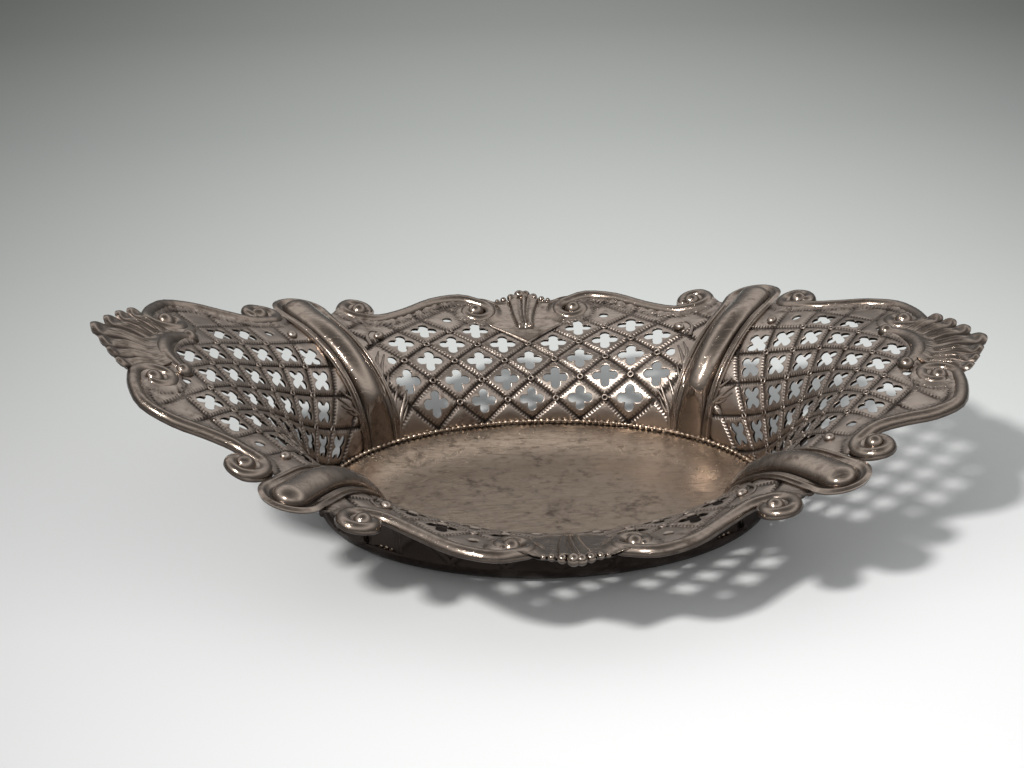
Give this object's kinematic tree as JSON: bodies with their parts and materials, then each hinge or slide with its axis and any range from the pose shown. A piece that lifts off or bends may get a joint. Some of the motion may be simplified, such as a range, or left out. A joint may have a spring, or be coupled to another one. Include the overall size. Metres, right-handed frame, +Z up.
{
  "type": "pierced bonbon dish",
  "caption": "Oval silver bonbon dish with flared walls pierced by a quatrefoil lattice, fluted corners and a scrolled shell rim.",
  "frame": {"origin": "centre of the flat underside that the dish stands on", "axes": "+X along the length of the dish towards the lower end, +Y to the far long side, +Z up"},
  "size_m": [0.1642, 0.1228, 0.0391],
  "materials": {
    "floor": "worn plain silver sheet, lightly scratched and stained",
    "lattice": "stamped silver sheet, dark tarnish in the recesses and bright edges",
    "mounts": "polished cast silver gone warm grey with tarnish"
  },
  "bodies": {
    "root": {"floor_plate": "floor", "floor_bead_wire": "mounts", "back_panel": "lattice", "front_panel": "lattice", "right_end_panel": "lattice", "left_end_panel": "lattice", "back_right_flute": "mounts", "back_right_long_scroll": "mounts", "back_right_end_scroll": "mounts", "back_left_flute": "mounts", "back_left_long_scroll": "mounts", "back_left_end_scroll": "mounts", "front_right_flute": "mounts", "front_right_long_scroll": "mounts", "front_right_end_scroll": "mounts", "front_left_flute": "mounts", "front_left_long_scroll": "mounts", "front_left_end_scroll": "mounts", "back_middle_shell": "mounts", "front_middle_shell": "mounts", "right_end_shell": "mounts", "right_collar": "mounts", "left_end_shell": "mounts", "left_collar": "mounts"}
  },
  "joints": []
}
